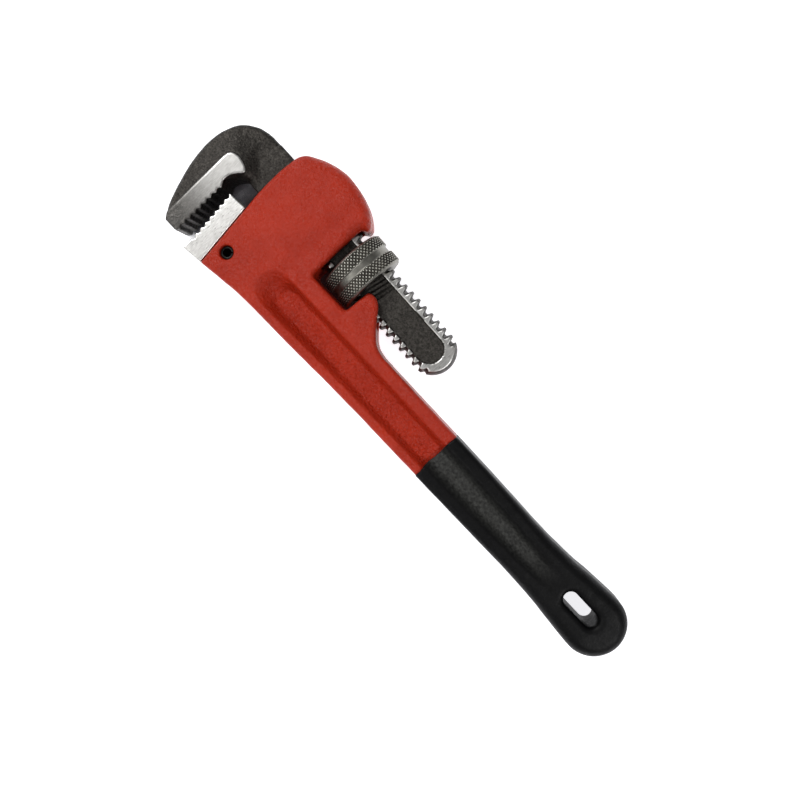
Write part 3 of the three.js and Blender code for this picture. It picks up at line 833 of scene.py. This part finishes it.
def nut():
    """The adjusting nut, a closed ring of rows about the shank's axis."""
    around = 576
    angle = np.linspace(0, 2 * math.pi, around, endpoint=False)
    outside, wear_and_glint = nut_outside(angle)
    inside = nut_inside(angle)
    rings = np.concatenate([outside, inside])
    flat = rings.reshape(-1, 3)
    c, s = math.cos(-TILT), math.sin(-TILT)
    x = flat[:, 0] * c - flat[:, 1] * s
    y = flat[:, 0] * s + flat[:, 1] * c + SHANK_Y
    index = np.arange(len(flat)).reshape(rings.shape[:2])
    up = np.roll(index, -1, 0)
    faces = np.stack([index, np.roll(index, -1, 1), np.roll(up, -1, 1), up], -1)
    peak = np.concatenate([wear_and_glint, np.full(inside.shape[:2], 0.2)])
    points = np.stack([x, y, flat[:, 2]], 1)
    piece = add_mesh("knurled_nut", points, faces.reshape(-1, 4), {"peak": peak.reshape(-1)})
    adopt(piece, "adjusting_nut", nut_steel())


# The roll pin and the springs

def roll_pin():
    """A slotted spring pin, pressed in below the head's sides."""
    step = 0.16
    px, py, radius = PIN
    reach = 3.2
    low, high = (px - reach, py - reach, -10), (px + reach, py + reach, 10)
    x, y, z = axes(low, high, step)
    gx, gy = np.meshgrid(x - px, y - py, indexing="ij")
    wall = np.abs(np.hypot(gx, gy) - radius + 0.45) - PIN_WALL_HALF
    split = PIN_SPLIT_HALF - np.maximum(np.abs(gx - gy) / math.sqrt(2), -gx)
    body = plate(blend_max(wall, split, 0.15), z, PIN_HALF, 0.2)
    vertices, faces = surface(body, low, step)
    piece = add_mesh("roll_pin", vertices, faces)
    steel = small_steel("pin_steel", (0.012, 0.012, 0.012), (0.05, 0.048, 0.045))
    adopt(piece, "heel_jaw_pin", steel)


def small_pieces():
    """The hidden springs and rivet are the CAD meshes, in steel."""
    dark = small_steel("rivet_steel", (0.02, 0.02, 0.02), (0.07, 0.065, 0.06))
    spring = small_steel("spring_steel", (0.16, 0.16, 0.155), (0.34, 0.34, 0.33))
    for node, material in (("spring_rivet", dark), ("leaf_spring", spring), ("coil_spring", spring)):
        mesh = frame["nodes"][node].data
        mesh.materials.clear()
        mesh.materials.append(material)


# Studio

# The camera looks nearly straight down on the wrench, which lies slantwise in the view (millimetres).
ROLL = math.radians(4.0)
CAMERA_HEIGHT = 360.0
VIEW_WIDTH = 333.3
AIM = (49.4, 4.54)
AXIS_ANGLE = math.radians(46.9)
FLOOR_HALF = 12.0
# Each light's place from the aim (to the right, up the view, above the floor), size in metres and power.
LIGHTS = {
    "head": ((-0.60, 0.64, 0.90), 0.5, 8.8),
    "end": ((0.58, -0.62, 0.90), 0.5, 5.0),
    "side": ((-0.60, -0.45, 0.80), 0.6, 2.2),
}
# The sky's strength rises from the first value to the second while the direction's Z goes from 0.4 to 1.
SKY_SPAN = {"From Min": 0.4, "From Max": 1.0, "To Min": 0.16, "To Max": 0.28}


def view_axes():
    """The view's right, its upward direction and the direction to the camera."""
    up = Vector((0, math.sin(ROLL), math.cos(ROLL)))
    along = Vector((1, 0, 0))
    side = up.cross(along)
    right = along * math.cos(AXIS_ANGLE) + side * math.sin(AXIS_ANGLE)
    above = side * math.cos(AXIS_ANGLE) - along * math.sin(AXIS_ANGLE)
    return right, above, up


def add_camera(target, right, above, up):
    """A camera that looks down on the target."""
    data = bpy.data.cameras.new("camera")
    data.sensor_fit = "HORIZONTAL"
    data.angle = 2 * math.atan(VIEW_WIDTH / 2 / CAMERA_HEIGHT)
    camera = bpy.data.objects.new("camera", data)
    turn = Matrix((right, above, up)).transposed().to_4x4()
    camera.matrix_world = Matrix.Translation(target + up * CAMERA_HEIGHT * MM) @ turn
    bpy.context.scene.collection.objects.link(camera)
    bpy.context.scene.camera = camera


def add_floor(right, above, up):
    """The floor touches the nut, the wrench's thickest piece."""
    foot = hub - up * (NUT_RADIUS + 0.05) * MM
    corners = [foot + right * FLOOR_HALF * a + above * FLOOR_HALF * b
               for a, b in ((-1, -1), (1, -1), (1, 1), (-1, 1))]
    mesh = bpy.data.meshes.new("floor")
    mesh.from_pydata(corners, [], [(0, 1, 2, 3)])
    mesh.materials.append(floor_white())
    floor = bpy.data.objects.new("floor", mesh)
    bpy.context.scene.collection.objects.link(floor)


def add_light(name, spot, target, size, power):
    """A round area light that faces the target."""
    lamp = bpy.data.lights.new(name, "AREA")
    lamp.shape = "DISK"
    lamp.size = size
    lamp.energy = power
    lamp_object = bpy.data.objects.new(name, lamp)
    aim = (target - spot).to_track_quat("-Z", "Y").to_matrix().to_4x4()
    lamp_object.matrix_world = Matrix.Translation(spot) @ aim
    bpy.context.scene.collection.objects.link(lamp_object)


def add_world():
    """A grey sky that is a little brighter overhead."""
    world = bpy.data.worlds.new("world")
    world.use_nodes = True
    tree = world.node_tree
    sky = tree.nodes["Background"]
    sky.inputs["Color"].default_value = (1, 1, 1, 1)
    direction = tree.nodes.new("ShaderNodeTexCoord")
    split = tree.nodes.new("ShaderNodeSeparateXYZ")
    tree.links.new(direction.outputs["Generated"], split.inputs["Vector"])
    fade = tree.nodes.new("ShaderNodeMapRange")
    for socket, number in SKY_SPAN.items():
        fade.inputs[socket].default_value = number
    tree.links.new(split.outputs["Z"], fade.inputs["Value"])
    tree.links.new(fade.outputs["Result"], sky.inputs["Strength"])
    bpy.context.scene.world = world


def studio():
    """Camera, floor, lights and sky."""
    right, above, up = view_axes()
    target = ORIGIN + Vector((*AIM, 0)) * MM
    add_camera(target, right, above, up)
    add_floor(right, above, up)
    for name, (place, size, power) in LIGHTS.items():
        spot = target + (right * place[0] + above * place[1] + up * place[2])
        add_light(name, spot, target, size, power)
    add_world()
    bpy.context.scene.view_settings.view_transform = "Standard"


housing()
grip()
heel_jaw()
hook_jaw()
nut()
roll_pin()
small_pieces()
studio()
